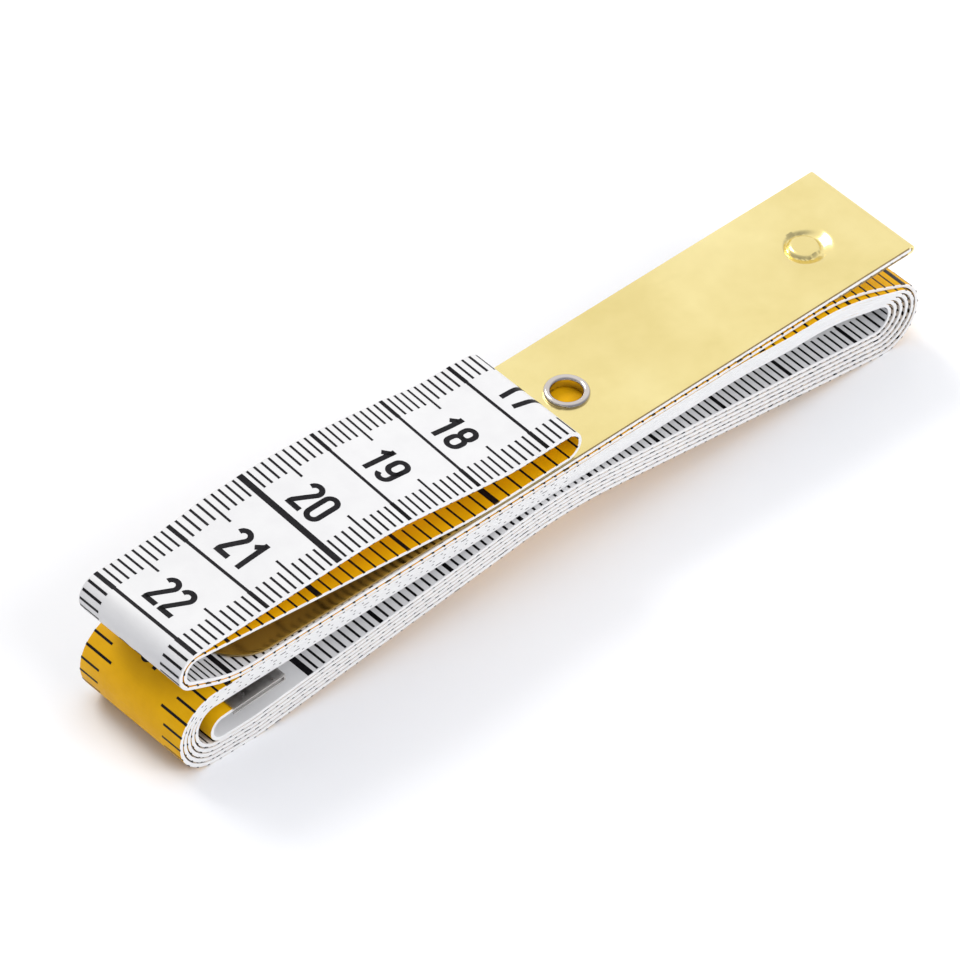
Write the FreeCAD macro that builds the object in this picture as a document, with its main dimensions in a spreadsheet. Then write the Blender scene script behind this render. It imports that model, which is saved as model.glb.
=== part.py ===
import FreeCAD, Part
import Sketcher
import math
import os

# Tailor's tape measure, 150 cm by 16 mm, folded flat round its own brass tongue.
#
# The working frame has the brass blade level: X runs along the bundle towards the
# zero end, -Y is the front edge, Z is up.  One rigid tilt at the end stands the
# bundle on its two bellies, so that Z = 0 is the table.
#
# The tape is one laminated ribbon: a white printed film, a core of glass yarn and
# a yellow printed film.  Its side profile is a belt pulled round a row of imaginary
# pulleys, so that it is all straight runs and tangent arcs.  The ribbon is cut into
# sections where it hinges, and every section is three bonded plies.

os.makedirs("parts", exist_ok=True)
doc = FreeCAD.newDocument("TapeMeasure")
sheet = doc.addObject("Spreadsheet::Sheet", "Sizes")
sheet.Label = "Sizes"

SIZES = [
    ("TapeWidth", 16.0, "width of the ribbon and of the blade"),
    ("WhiteFilm", 0.19, "white printed PVC film"),
    ("GlassCore", 0.14, "glass yarn core between the films"),
    ("YellowFilm", 0.12, "yellow printed PVC film"),
    ("CoreMargin", 0.8, "the core stops this far inside each edge"),
    ("BladeLength", 100.0, "brass tongue, tip to bend"),
    ("BladeSheet", 0.3, "brass sheet"),
    ("BladeTipRadius", 5.5, "rounded corners of the tip"),
    ("TipSpring", 0.5, "the tip stands this much above the blade's level"),
    ("TipSpringFrom", 58.0, "where that rise begins, from the bend"),
    ("LeafLength", 12.0, "leaf folded back under the tape end"),
    ("BendRadius", 0.5, "outside radius of the blade's bend"),
    ("BendInside", 0.2, "inside radius of the blade's bend"),
    ("EyeletFromEnd", 44.8, "eyelet centre to bend"),
    ("EyeletBore", 3.5, "clear hole"),
    ("EyeletBarrel", 3.9, "outside of the barrel"),
    ("EyeletRim", 5.2, "outside of the rolled rim"),
    ("EyeletRimHeight", 0.5, "rim above the blade"),
    ("EyeletFoot", 0.14, "flattened foot under the tape"),
    ("EyeletFootInset", 0.2, "foot inside the rim, all round"),
    ("EyeletRimRound", 0.225, "rounding of the rim"),
    ("StakeFromEnd", 9.2, "stake centre to bend"),
    ("StakePin", 2.6, "pin that nails the tape end"),
    ("StakeDish", 7.0, "pressed dish round the stake"),
    ("StakeDishDepth", 0.18, "depth of the dish"),
    ("StakeButton", 3.4, "raised button in the dish"),
    ("StakeButtonHeight", 0.1, "button above the blade"),
    ("StakeCrown", 0.09, "rounding of the button"),
    ("StakeFloor", 4.3, "flat floor of the dish"),
    ("StakePinGrip", 0.1, "pin reaches this far into the leaf"),
    ("TapeEndGap", 0.2, "tape end to the blade's bend"),
    ("SeatGap", 0.125, "air between parts that lift off each other"),
    ("LayerGap", 0.15, "air between the layers of the roll"),
    ("EyeletRoom", 0.2, "how much lower the run under the eyelet's foot lies"),
    ("LeafRoom", 0.1, "how much lower the roll lies under the folded leaf"),
    ("FlapEyeletGap", 2.725, "eyelet rim to the flap's bend"),
    ("FlapBendRadius", 1.75, "middle of the ribbon at the flap's bend"),
    ("FlapSagRadius", 60.0, "flap's lower run where it settles on the blade"),
    ("FlapSagLead", 9.0, "flap's bend to that place"),
    ("FlapDipRadius", 25.0, "flap's upper run behind the bend"),
    ("FlapDipLead", 6.4, "flap's bend to that dip"),
    ("FlapHumpRadius", 60.0, "flap's upper run over its highest place"),
    ("FlapHumpLead", 22.7, "left folds to that place"),
    ("FlapHumpRise", 0.42, "hump over the outer left fold"),
    ("FlapFoldPast", 4.7, "blade tip to the two nested left folds"),
    ("FlapFoldRadius", 1.68, "inner one of those folds"),
    ("FlapFoldLift", 4.225, "height of those folds over the tongue"),
    ("FlapFoldSlack", 0.045, "extra air between the two folds"),
    ("RampRadius", 14.0, "tape's climb from the tongue to the folds"),
    ("RampLead", 8.2, "foot of the climb to the folds"),
    ("LeftFoldPast", 1.6, "blade tip to the left folds of the roll"),
    ("InnerFoldRadius", 2.7, "smallest left fold of the roll"),
    ("LeftFoldStep", 0.09, "each outer left fold reaches this much further"),
    ("BellyRadius", 12.0, "left belly, outermost layer"),
    ("BellyLead", 4.6, "left folds to the belly"),
    ("LeftFoldPress", 0.05, "each outer left fold's centre is this much higher"),
    ("BellySag", 0.15, "belly below the outermost left fold"),
    ("WaistFromEnd", 53.0, "narrowest place of the roll"),
    ("WaistRadius", 60.0, "innermost layer at the waist"),
    ("WaistGap", 0.12, "air between the two halves at the waist"),
    ("WaistLayerGap", 0.08, "air between the layers squeezed at the waist"),
    ("ShoulderFromEnd", 16.2, "where the top runs start to turn down"),
    ("ShoulderRadius", 27.0, "of that turn"),
    ("RightFoldFromEnd", 5.0, "smallest right fold of the roll"),
    ("RightFoldRadius", 2.02, "radius of that fold"),
    ("RightFoldDrop", 4.25, "roll's inner top run down to that fold"),
    ("HookLead", 0.7, "left folds to the last small fold"),
    ("HookRadius", 1.5, "last small fold before the tail"),
    ("TailArm", 8.3, "that fold to the tail end"),
    ("TailRise", 0.4, "tail end over the top of that fold"),
    ("ClipLength", 7.0, "metal clip over the tail"),
    ("ClipSheet", 0.2, "sheet of the clip"),
    ("FoldTrim", 1.3, "open joint between a hinge fold and its run"),
]
for row, (alias, value, note) in enumerate(SIZES, start=1):
    sheet.set("A%d" % row, alias)
    sheet.set("B%d" % row, str(value))
    sheet.set("C%d" % row, note)
    sheet.setAlias("B%d" % row, alias)
doc.recompute()


def size(alias):
    return float(sheet.get(alias))


WIDTH = size("TapeWidth")
TAPE = size("WhiteFilm") + size("GlassCore") + size("YellowFilm")
BLADE = size("BladeSheet")
SEAT = size("SeatGap")
PITCH = TAPE + size("LayerGap")
LENGTH = size("BladeLength")

# ---------------------------------------------------------------- the pulleys
CW = -1.0
CCW = 1.0
TURNS = 5
# Places in the row of pulleys: the flap's two left folds, the first shoulder, the
# first right fold, and how many pulleys make one turn of the roll.
INNER_FOLD = 2
OUTER_FOLD = 7
END_FOLD = 10
TURN_PULLEYS = 5
# Steps between neighbouring right folds, as shares of the pitch of the layers: the
# outer layers stand a little away from each other at the end of the bundle.
RIGHT_STEP_RADIUS = 0.88
RIGHT_STEP_OUT = 0.46
RIGHT_STEP_DOWN = 0.27
BELLY_STEP = 0.87


def roll_levels():
    """Heights of the middle of each run of the ribbon, blade at Z = 0."""
    lv = {}
    lv["tongue"] = -(BLADE + TAPE) / 2
    lv["under_left"] = lv["tongue"] - TAPE - SEAT
    lv["under_right"] = lv["under_left"] - size("EyeletRoom")
    lv["top_left"] = [lv["under_left"] - PITCH * (TURNS - k) for k in range(TURNS)]
    lv["top_right"] = [lv["under_right"] - size("LeafRoom") - PITCH * (TURNS - k) for k in range(TURNS)]
    lv["waist"] = (lv["top_left"][0] + lv["top_right"][0]) / 2 - TAPE - size("WaistGap")
    lv["flap_low"] = BLADE / 2 + SEAT + TAPE / 2
    lv["flap_high"] = lv["flap_low"] + 2 * size("FlapBendRadius")
    return lv


def flap_fold_centre():
    return -LENGTH - size("FlapFoldPast"), roll_levels()["tongue"] + size("FlapFoldLift")


def upper_pulleys(lv):
    """Zero end, under the blade, round the flap and back under the tongue."""
    fold_x, fold_z = flap_fold_centre()
    inner = size("FlapFoldRadius")
    outer = inner + TAPE + SEAT + size("FlapFoldSlack")
    ramp = size("RampRadius")
    ramp_x = fold_x + size("RampLead")
    ramp_z = lv["tongue"] + ramp
    bend = size("FlapBendRadius")
    rim_edge = size("EyeletFromEnd") + size("EyeletRim") / 2
    bend_x = -rim_edge - size("FlapEyeletGap") - TAPE / 2 - bend
    sag = size("FlapSagRadius")
    dip = size("FlapDipRadius")
    hump = size("FlapHumpRadius")
    hump_z = fold_z + outer + size("FlapHumpRise") - hump
    return [
        (-BLADE - size("TapeEndGap"), lv["tongue"], 0.0, CW),
        (ramp_x, ramp_z, ramp, CW),
        (fold_x, fold_z, inner, CW),
        (bend_x - size("FlapSagLead"), lv["flap_low"] + sag, sag, CCW),
        (bend_x, lv["flap_low"] + bend, bend, CCW),
        (bend_x - size("FlapDipLead"), lv["flap_high"] + dip, dip, CW),
        (fold_x + size("FlapHumpLead"), hump_z, hump, CCW),
        (fold_x, fold_z, outer, CCW),
        (ramp_x, ramp_z, ramp + TAPE + SEAT, CCW),
    ]


def right_fold(lv, k):
    x = -size("RightFoldFromEnd") + RIGHT_STEP_OUT * PITCH * k
    z = lv["top_right"][0] - size("RightFoldDrop") - RIGHT_STEP_DOWN * PITCH * k
    return x, z, size("RightFoldRadius") + RIGHT_STEP_RADIUS * PITCH * k, CW


def pulleys():
    """(x, z, radius, turn) from the zero end to the tail, ribbon running over each."""
    lv = roll_levels()
    row = upper_pulleys(lv)
    left_x = -LENGTH - size("LeftFoldPast")
    left_z = lv["top_left"][0] - size("InnerFoldRadius")
    press = size("LeftFoldPress")
    outermost = size("InnerFoldRadius") + (PITCH - 2 * press) * (TURNS - 1)
    belly_x = left_x + size("BellyLead")
    belly_z = left_z - outermost - size("BellySag") + size("BellyRadius")
    shoulder = size("ShoulderRadius")
    waist = size("WaistRadius")
    for k in range(TURNS, -1, -1):
        top = lv["under_right"] if k == TURNS else lv["top_right"][k]
        belly = size("BellyRadius") - BELLY_STEP * PITCH * (TURNS - k)
        squeezed = waist - (TAPE + size("WaistLayerGap")) * k
        row.append((-size("ShoulderFromEnd"), top - shoulder, shoulder, CW))
        row.append(right_fold(lv, k))
        row.append((-size("WaistFromEnd"), lv["waist"] - waist, squeezed, CCW))
        row.append((belly_x, belly_z, belly, CW))
        if k > 0:
            fold_x = left_x - size("LeftFoldStep") * (k - 1)
            fold_z = left_z + press * (k - 1)
            row.append((fold_x, fold_z, size("InnerFoldRadius") + (PITCH - press) * (k - 1), CW))
    hook = size("HookRadius")
    hook_x = left_x + size("HookLead")
    hook_z = belly_z - belly + hook
    row.append((hook_x, hook_z, hook, CW))
    row.append((hook_x + size("TailArm"), hook_z + hook + size("TailRise"), 0.0, CW))
    return row


def belt(row):
    """Straight runs and arcs of the belt: (kind, start, heading, signed radius, length)."""
    heads = []
    for a, b in zip(row, row[1:]):
        dx = b[0] - a[0]
        dz = b[1] - a[1]
        gap = math.hypot(dx, dz)
        lean = (b[3] * b[2] - a[3] * a[2]) / gap
        if abs(lean) >= 1:
            raise ValueError("pulleys too close: %s %s" % (a, b))
        heads.append(math.atan2(dz, dx) - math.asin(lean))
    runs = []
    marks = []
    travel = 0.0
    for i, (x, z, r, turn) in enumerate(row):
        first = travel
        if 0 < i < len(row) - 1:
            sweep = heads[i] - heads[i - 1]
            sweep = math.atan2(math.sin(sweep), math.cos(sweep))
            if sweep * turn < -1e-6:
                sweep += turn * 2 * math.pi
            runs.append(("arc", (x, z), heads[i - 1], turn * r, abs(sweep) * r, travel))
            travel += abs(sweep) * r
        marks.append((first, travel))
        if i < len(row) - 1:
            nx, nz = -math.sin(heads[i]), math.cos(heads[i])
            a = (x - nx * turn * r, z - nz * turn * r)
            b = row[i + 1]
            c = (b[0] - nx * b[3] * b[2], b[1] - nz * b[3] * b[2])
            span = math.hypot(c[0] - a[0], c[1] - a[1])
            runs.append(("line", a, heads[i], 0.0, span, travel))
            travel += span
    return runs, marks, travel


RUNS, MARKS, TOTAL = belt(pulleys())


def spot(run, along, shift):
    """Point on a run, 'shift' to the left of travel."""
    kind, base, head, radius, span, start = run
    if kind == "line":
        nx, nz = -math.sin(head), math.cos(head)
        x = base[0] + math.cos(head) * along + nx * shift
        z = base[1] + math.sin(head) * along + nz * shift
        return x, z
    head = head + along / radius
    nx, nz = -math.sin(head), math.cos(head)
    return base[0] - nx * (radius - shift), base[1] - nz * (radius - shift)


def edge(run, lo, hi, shift, y):
    a = FreeCAD.Vector(spot(run, lo, shift)[0], y, spot(run, lo, shift)[1])
    b = FreeCAD.Vector(spot(run, hi, shift)[0], y, spot(run, hi, shift)[1])
    if run[0] == "line":
        return Part.LineSegment(a, b).toShape()
    middle = spot(run, (lo + hi) / 2, shift)
    return Part.Arc(a, FreeCAD.Vector(middle[0], y, middle[1]), b).toShape()


def clipped(first, last):
    part = []
    for run in RUNS:
        lo = max(0.0, first - run[5])
        hi = min(run[4], last - run[5])
        if hi - lo > 1e-4:
            part.append((run, lo, hi))
    return part


def ply(first, last, low, high, inset):
    """One ply of the ribbon from 'first' to 'last' along the tape."""
    y = -WIDTH / 2 + inset
    part = clipped(first, last)
    there = [edge(run, lo, hi, low, y) for run, lo, hi in part]
    back = [edge(run, lo, hi, high, y) for run, lo, hi in part]
    start = Part.LineSegment(there[0].Vertexes[0].Point, back[0].Vertexes[0].Point)
    finish = Part.LineSegment(there[-1].Vertexes[-1].Point, back[-1].Vertexes[-1].Point)
    outline = Part.Wire(Part.__sortEdges__(there + [finish.toShape()] + back + [start.toShape()]))
    return Part.Face(outline).extrude(FreeCAD.Vector(0, WIDTH - 2 * inset, 0))


# ------------------------------------------------- standing it on the table
def rest_placement():
    """Tilt that puts the left belly and the outer right fold on Z = 0."""
    row = pulleys()
    right = row[END_FOLD]
    left = row[END_FOLD + 2]
    face = TAPE / 2
    dx = right[0] - left[0]
    dz = right[1] - left[1]
    lean = (right[2] - left[2]) / math.hypot(dx, dz)
    tilt = math.atan2(dz, dx) - math.asin(lean)
    low = -math.sin(tilt) * left[0] + math.cos(tilt) * left[1] - left[2] - face
    turn = FreeCAD.Rotation(FreeCAD.Vector(0, 1, 0), math.degrees(tilt))
    outer = right[2] + face
    edge_right = math.cos(tilt) * right[0] + math.sin(tilt) * right[1] + outer
    folds = [row[END_FOLD + 3], row[OUTER_FOLD]]
    edge_left = min(math.cos(tilt) * x + math.sin(tilt) * z - r - face for x, z, r, t in folds)
    shift = FreeCAD.Vector(-(edge_right + edge_left) / 2, 0, -low)
    return FreeCAD.Placement(shift, turn)


REST = rest_placement()

# --------------------------------------------------------- the ribbon's plies
TRIM = size("FoldTrim")
SECTIONS = [
    ("tongue_run", 0.0, MARKS[INNER_FOLD][0]),
    ("inner_fold", MARKS[INNER_FOLD][0], MARKS[INNER_FOLD][1]),
    ("flap", MARKS[INNER_FOLD][1] + TRIM, MARKS[OUTER_FOLD][0] - TRIM),
    ("outer_fold", MARKS[OUTER_FOLD][0], MARKS[OUTER_FOLD][1]),
    ("under_run", MARKS[OUTER_FOLD][1], MARKS[END_FOLD - 1][0] - TRIM / 2),
    ("end_fold", MARKS[END_FOLD - 1][0], MARKS[END_FOLD][1]),
]
for turn in range(TURNS):
    here = END_FOLD + TURN_PULLEYS * turn
    SECTIONS.append(("turn_%d" % (turn + 1), MARKS[here][1], MARKS[here + TURN_PULLEYS][1]))
SECTIONS.append(("last_run", MARKS[END_FOLD + TURN_PULLEYS * TURNS][1], MARKS[-2][0]))
SECTIONS.append(("tail", MARKS[-2][0], TOTAL))
THROUGH = 10.0


def pin_hole(alias_x, diameter):
    base = FreeCAD.Vector(-size(alias_x), 0, -THROUGH / 2)
    return Part.makeCylinder(diameter / 2, THROUGH, base, FreeCAD.Vector(0, 0, 1))


HOLES = [pin_hole("EyeletFromEnd", size("EyeletBarrel")), pin_hole("StakeFromEnd", size("StakePin"))]
BOTTOM = -TAPE / 2
CORE_LOW = BOTTOM + size("WhiteFilm")
CORE_HIGH = CORE_LOW + size("GlassCore")
TOP = TAPE / 2
made = []
for name, first, last in SECTIONS:
    core = ply(first, last, CORE_LOW, CORE_HIGH, size("CoreMargin"))
    white = ply(first, last, BOTTOM, CORE_HIGH, 0.0).cut(core)
    yellow = ply(first, last, CORE_HIGH, TOP, 0.0)
    for kind, solid in (("white_face", white), ("glass_core", core), ("yellow_face", yellow)):
        if name == "tongue_run":
            for hole in HOLES:
                solid = solid.cut(hole)
        node = doc.addObject("Part::Feature", kind + "_" + name)
        node.Label = kind + "_" + name
        node.Shape = solid.Solids[0] if len(solid.Solids) == 1 else solid
        node.Placement = REST
        made.append(node)


# ------------------------------------------------------------ sketch helpers
def plane(body, role):
    for item in body.Origin.OriginFeatures:
        if item.Role == role:
            return item
    raise ValueError(role)


def outline(body, name, role, corners):
    """Closed polygon; every corner is (x expression, y expression)."""
    sk = body.newObject("Sketcher::SketchObject", name)
    sk.AttachmentSupport = [(plane(body, role), "")]
    sk.MapMode = "FlatFace"
    count = len(corners)
    guess = [(float(i), float(i * i % 7)) for i in range(count)]
    for i in range(count):
        a = FreeCAD.Vector(guess[i][0], guess[i][1], 0)
        b = FreeCAD.Vector(guess[(i + 1) % count][0], guess[(i + 1) % count][1], 0)
        sk.addGeometry(Part.LineSegment(a, b), False)
    for i in range(count):
        sk.addConstraint(Sketcher.Constraint("Coincident", i, 2, (i + 1) % count, 1))
    for i, (ex, ey) in enumerate(corners):
        for kind, text in (("DistanceX", ex), ("DistanceY", ey)):
            index = sk.addConstraint(Sketcher.Constraint(kind, -1, 1, i, 1, 1.0))
            sk.setExpression("Constraints[%d]" % index, text)
    return sk


def edges_where(shape, test):
    return ["Edge%d" % (i + 1) for i, e in enumerate(shape.Edges) if test(e)]


# ------------------------------------------------------------ brass tongue
tongue = doc.addObject("PartDesign::Body", "brass_tongue")
tongue.Label = "brass_tongue"
STACK = "(Sizes.BladeSheet*1.5+Sizes.WhiteFilm+Sizes.GlassCore+Sizes.YellowFilm)"
SLOT = "(Sizes.BladeSheet*0.5+Sizes.WhiteFilm+Sizes.GlassCore+Sizes.YellowFilm)"
profile = outline(tongue, "BladeProfile", "XZ_Plane", [
    ("-Sizes.BladeLength", "Sizes.BladeSheet/2+Sizes.TipSpring"),
    ("-Sizes.TipSpringFrom", "Sizes.BladeSheet/2"),
    ("0", "Sizes.BladeSheet/2"),
    ("0", "-" + STACK),
    ("-Sizes.LeafLength", "-" + STACK),
    ("-Sizes.LeafLength", "-" + SLOT),
    ("-Sizes.BladeSheet", "-" + SLOT),
    ("-Sizes.BladeSheet", "-Sizes.BladeSheet/2"),
    ("-Sizes.TipSpringFrom", "-Sizes.BladeSheet/2"),
    ("-Sizes.BladeLength", "-Sizes.BladeSheet/2+Sizes.TipSpring"),
])
blade = tongue.newObject("PartDesign::Pad", "BladePad")
blade.Profile = profile
blade.setExpression("Length", "Sizes.TapeWidth")
blade.Midplane = True
doc.recompute()


def fillet(body, name, base, names, expression):
    item = body.newObject("PartDesign::Fillet", name)
    item.Base = (base, names)
    item.setExpression("Radius", expression)
    body.Tip = item
    doc.recompute()
    return item


def along(e, axis):
    d = e.Vertexes[-1].Point - e.Vertexes[0].Point
    return d.Length > 1e-6 and abs(abs(d.dot(axis)) - d.Length) < 1e-6


AXIS_Y = FreeCAD.Vector(0, 1, 0)
AXIS_Z = FreeCAD.Vector(0, 0, 1)
bend_edges = edges_where(blade.Shape, lambda e: along(e, AXIS_Y) and e.BoundBox.XMin > -1e-6)
bend = fillet(tongue, "BendOutside", blade, bend_edges, "Sizes.BendRadius")
throat = edges_where(
    bend.Shape,
    lambda e: along(e, AXIS_Y) and abs(e.BoundBox.XMin + BLADE) < 1e-6,
)
inside = fillet(tongue, "BendInside", bend, throat, "Sizes.BendInside")
tip_edges = edges_where(
    inside.Shape,
    lambda e: along(e, AXIS_Z) and abs(e.BoundBox.XMin + LENGTH) < 1e-6,
)
tip = fillet(tongue, "TipCorners", inside, tip_edges, "Sizes.BladeTipRadius")


def disc(body, name, role_x, diameter):
    """Circle sketch on the blade's middle plane, at a distance from the bend."""
    sk = body.newObject("Sketcher::SketchObject", name)
    sk.AttachmentSupport = [(plane(body, "XY_Plane"), "")]
    sk.MapMode = "FlatFace"
    sk.addGeometry(Part.Circle(FreeCAD.Vector(-10, 0, 0), AXIS_Z, 2.0), False)
    place = sk.addConstraint(Sketcher.Constraint("DistanceX", 0, 3, -1, 1, 10.0))
    sk.setExpression("Constraints[%d]" % place, role_x)
    sk.addConstraint(Sketcher.Constraint("PointOnObject", 0, 3, -1))
    across = sk.addConstraint(Sketcher.Constraint("Diameter", 0, 4.0))
    sk.setExpression("Constraints[%d]" % across, diameter)
    return sk


def pad(body, name, sk, length, reverse):
    item = body.newObject("PartDesign::Pad", name)
    item.Profile = sk
    item.setExpression("Length", length)
    item.Reversed = reverse
    body.Tip = item
    doc.recompute()
    return item


STAKE_X = "Sizes.StakeFromEnd"
EYELET_X = "Sizes.EyeletFromEnd"
bore_sketch = disc(tongue, "EyeletHole", EYELET_X, "Sizes.EyeletBarrel")
bore = tongue.newObject("PartDesign::Pocket", "EyeletHolePocket")
bore.Profile = bore_sketch
bore.Type = "ThroughAll"
bore.Midplane = True
tongue.Tip = bore
doc.recompute()

# The stake: a dish pressed in the blade, a raised button in its middle and the pin
# that nails the tape to the folded leaf.
dish = outline(tongue, "DishProfile", "XZ_Plane", [
    ("-Sizes.StakeFromEnd", "Sizes.BladeSheet/2"),
    ("-Sizes.StakeFromEnd", "Sizes.BladeSheet/2-Sizes.StakeDishDepth"),
    ("-Sizes.StakeFromEnd+Sizes.StakeFloor/2", "Sizes.BladeSheet/2-Sizes.StakeDishDepth"),
    ("-Sizes.StakeFromEnd+Sizes.StakeDish/2", "Sizes.BladeSheet/2"),
])
groove = tongue.newObject("PartDesign::Groove", "StakeDish")
groove.Profile = dish
groove.ReferenceAxis = (dish, ["Edge1"])
groove.Angle = 360.0
tongue.Tip = groove
doc.recompute()
button = pad(tongue, "StakeButtonPad", disc(tongue, "StakeButton", STAKE_X, "Sizes.StakeButton"),
             "Sizes.BladeSheet/2+Sizes.StakeButtonHeight", False)
BUTTON_TOP = BLADE / 2 + size("StakeButtonHeight")
crown_edges = edges_where(button.Shape, lambda e: abs(e.BoundBox.ZMin - BUTTON_TOP) < 1e-6)
crown = fillet(tongue, "StakeCrownFillet", button, crown_edges, "Sizes.StakeCrown")
pin = pad(tongue, "StakePinPad", disc(tongue, "StakePin", STAKE_X, "Sizes.StakePin"),
          SLOT + "+Sizes.StakePinGrip", True)
tongue.Placement = REST

# ------------------------------------------------------------------- eyelet
eyelet = doc.addObject("PartDesign::Body", "eyelet")
eyelet.Label = "eyelet"
LIP = "Sizes.BladeSheet/2"
eyelet_profile = outline(eyelet, "EyeletProfile", "XZ_Plane", [
    ("-Sizes.EyeletFromEnd+Sizes.EyeletBore/2", "-" + SLOT + "-Sizes.EyeletFoot"),
    ("-Sizes.EyeletFromEnd+Sizes.EyeletRim/2-Sizes.EyeletFootInset", "-" + SLOT + "-Sizes.EyeletFoot"),
    ("-Sizes.EyeletFromEnd+Sizes.EyeletRim/2-Sizes.EyeletFootInset", "-" + SLOT),
    ("-Sizes.EyeletFromEnd+Sizes.EyeletBarrel/2", "-" + SLOT),
    ("-Sizes.EyeletFromEnd+Sizes.EyeletBarrel/2", LIP),
    ("-Sizes.EyeletFromEnd+Sizes.EyeletRim/2", LIP),
    ("-Sizes.EyeletFromEnd+Sizes.EyeletRim/2", LIP + "+Sizes.EyeletRimHeight"),
    ("-Sizes.EyeletFromEnd+Sizes.EyeletBore/2", LIP + "+Sizes.EyeletRimHeight"),
])
centre = eyelet.newObject("Sketcher::SketchObject", "EyeletAxis")
centre.AttachmentSupport = [(plane(eyelet, "XZ_Plane"), "")]
centre.MapMode = "FlatFace"
centre.addGeometry(Part.LineSegment(FreeCAD.Vector(-9, -5, 0), FreeCAD.Vector(-9, 5, 0)), False)
for start_end, height in ((1, -5.0), (2, 5.0)):
    across = centre.addConstraint(Sketcher.Constraint("DistanceX", 0, start_end, -1, 1, 9.0))
    centre.setExpression("Constraints[%d]" % across, EYELET_X)
    centre.addConstraint(Sketcher.Constraint("DistanceY", -1, 1, 0, start_end, height))
ring = eyelet.newObject("PartDesign::Revolution", "EyeletRing")
ring.Profile = eyelet_profile
ring.ReferenceAxis = (centre, ["Edge1"])
ring.Angle = 360.0
eyelet.Tip = ring
doc.recompute()
RIM_TOP = BLADE / 2 + size("EyeletRimHeight")
rim_edges = edges_where(ring.Shape, lambda e: abs(e.BoundBox.ZMin - RIM_TOP) < 1e-6)
rim = fillet(eyelet, "RolledRim", ring, rim_edges, "Sizes.EyeletRimRound")
eyelet.Placement = REST

# ----------------------------------------------------------------- tail clip
clip = doc.addObject("PartDesign::Body", "tail_clip")
clip.Label = "tail_clip"
HALF = "(Sizes.WhiteFilm+Sizes.GlassCore+Sizes.YellowFilm)/2"
clip_profile = outline(clip, "ClipProfile", "XZ_Plane", [
    ("-Sizes.ClipLength", HALF + "+Sizes.ClipSheet"),
    ("Sizes.ClipSheet", HALF + "+Sizes.ClipSheet"),
    ("Sizes.ClipSheet", "-" + HALF + "-Sizes.ClipSheet"),
    ("-Sizes.ClipLength", "-" + HALF + "-Sizes.ClipSheet"),
    ("-Sizes.ClipLength", "-" + HALF),
    ("0", "-" + HALF),
    ("0", HALF),
    ("-Sizes.ClipLength", HALF),
])
clip_pad = clip.newObject("PartDesign::Pad", "ClipPad")
clip_pad.Profile = clip_profile
clip_pad.setExpression("Length", "Sizes.TapeWidth")
clip_pad.Midplane = True
clip.Tip = clip_pad
doc.recompute()
last = RUNS[-1]
end = spot(last, last[4], 0.0)
tail_turn = FreeCAD.Rotation(AXIS_Y, -math.degrees(last[2]))
clip.Placement = REST.multiply(FreeCAD.Placement(FreeCAD.Vector(end[0], 0, end[1]), tail_turn))

# ----------------------------------------------------------- checks and files
doc.recompute()
for item in doc.Objects:
    if "Invalid" in item.State or "Error" in item.State:
        raise RuntimeError("failed: %s %s" % (item.Name, item.State))
nodes = made + [tongue, eyelet, clip]
for node in nodes:
    if node.Shape.isNull() or not node.Shape.isValid() or node.Shape.Volume <= 0:
        raise RuntimeError("bad shape: " + node.Label)
    node.Shape.exportStep("parts/" + node.Label + ".step")
print("nodes", len(nodes), "tape length", round(TOTAL, 1))
print("rest", REST)
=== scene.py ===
import math
import random

import bmesh
import bpy
from mathutils import Matrix, Vector


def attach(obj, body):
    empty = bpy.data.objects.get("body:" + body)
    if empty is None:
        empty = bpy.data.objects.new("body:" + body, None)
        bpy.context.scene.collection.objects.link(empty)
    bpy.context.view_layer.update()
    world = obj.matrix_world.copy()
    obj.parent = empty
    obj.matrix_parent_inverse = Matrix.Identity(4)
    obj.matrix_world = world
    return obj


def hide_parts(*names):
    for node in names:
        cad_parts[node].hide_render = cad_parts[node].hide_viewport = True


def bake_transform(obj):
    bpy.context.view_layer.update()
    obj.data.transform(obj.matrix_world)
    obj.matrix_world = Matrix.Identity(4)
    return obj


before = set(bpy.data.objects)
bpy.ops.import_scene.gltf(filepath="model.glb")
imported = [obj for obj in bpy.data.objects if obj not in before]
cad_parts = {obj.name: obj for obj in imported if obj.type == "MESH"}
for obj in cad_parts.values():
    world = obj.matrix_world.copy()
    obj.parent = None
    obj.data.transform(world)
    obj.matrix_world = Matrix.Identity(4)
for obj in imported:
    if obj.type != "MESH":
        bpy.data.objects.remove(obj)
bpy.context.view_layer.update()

# Tailor's tape, folded flat round its brass tongue.  Lengths here are millimetres in
# the blade's own frame: X to the zero end, -Y the front edge, Z up, blade at Z = 0.
# Every mesh is brought to the table in metres at the end.
MM = 0.001
TINY = 1e-6
WIDTH = 16.0
WHITE_FILM = 0.19
GLASS_CORE = 0.14
YELLOW_FILM = 0.12
TAPE = WHITE_FILM + GLASS_CORE + YELLOW_FILM
HALF = TAPE / 2
FILM_SPLIT = HALF - YELLOW_FILM
BLADE = 0.3
BLADE_LENGTH = 100.0
TIP_RADIUS = 5.5
TIP_SPRING = 0.5
TIP_SPRING_FROM = 58.0
LEAF_LENGTH = 12.0
BEND_RADIUS = 0.35
EYELET_X = -44.8
EYELET_BORE = 1.75
EYELET_BARREL = 1.95
EYELET_RIM = 2.6
EYELET_RIM_HEIGHT = 0.5
EYELET_FOOT = 0.14
STAKE_X = -9.2
STAKE_DISH = 3.5
STAKE_DISH_DEPTH = 0.55
STAKE_BUTTON = 1.8
STAKE_PIN = 1.3
STAKE_HOLLOW = 2.75
SEAT = 0.125
PITCH = TAPE + 0.15
EYELET_ROOM = 0.2
LEAF_ROOM = 0.1
FLAP_EYELET_GAP = 2.725
FOLD_TRIM = 1.3
TAPE_END = -BLADE - 0.2

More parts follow.
